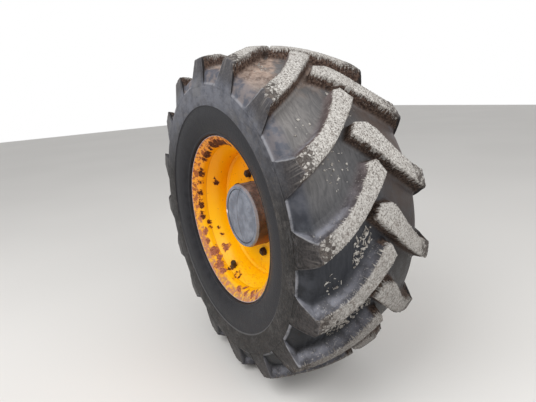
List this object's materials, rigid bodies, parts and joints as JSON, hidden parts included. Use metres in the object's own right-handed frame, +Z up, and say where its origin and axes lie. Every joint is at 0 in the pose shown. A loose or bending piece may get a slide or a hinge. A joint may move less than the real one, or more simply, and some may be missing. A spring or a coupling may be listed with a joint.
{
  "type": "site dumper front wheel on its axle end",
  "caption": "Front wheel of a site dumper: lugged tyre on a bolted drop centre rim, its hub turning on the spindle of the flanged axle arm that carries it.",
  "frame": {"origin": "centre of the bolt face at the inner end of the axle arm", "axes": "+Y along the axle towards the machine, so the wheel's outer side faces -Y; +Z up"},
  "size_m": [1.076, 0.565, 1.076],
  "materials": {
    "tyre_rubber": "matt, dusty",
    "rim_paint": "orange yellow gloss paint with rust",
    "valve_rubber": "matt",
    "hub_iron": "rusty",
    "drum_iron": "worn and rusty",
    "cover_paint": "blue grey satin paint",
    "bolt_steel": "rusty",
    "plug_steel": "dull",
    "arm_iron": "black satin paint",
    "seal_rubber": "matt",
    "shaft_steel": "oiled"
  },
  "bodies": {
    "axle": {"axle_arm": "arm_iron", "arm_plug": "plug_steel", "seal_ring": "seal_rubber"},
    "half_shaft": {"half_shaft": "shaft_steel"},
    "wheel": {"tyre": "tyre_rubber", "rim": "rim_paint", "valve_stem": "valve_rubber", "valve_cap": "valve_rubber", "wheel_disc": "rim_paint", "hub": "hub_iron", "hub_drum": "drum_iron", "drum_plug": "plug_steel", "hub_cover": "cover_paint", "wheel_studs": "bolt_steel", "wheel_nuts": "bolt_steel"}
  },
  "joints": [
    {"name": "wheel_spin", "type": "hinge", "parent": "axle", "child": "wheel", "pos_m": [0, -0.36, 0], "axis": [0, 1, 0], "continuous": true},
    {"name": "shaft_spin", "type": "hinge", "parent": "axle", "child": "half_shaft", "pos_m": [0, -0.1, 0], "axis": [0, 1, 0], "continuous": true}
  ],
  "couplings": [
    {"joint": "shaft_spin", "follows": "wheel_spin", "ratio": 6}
  ]
}
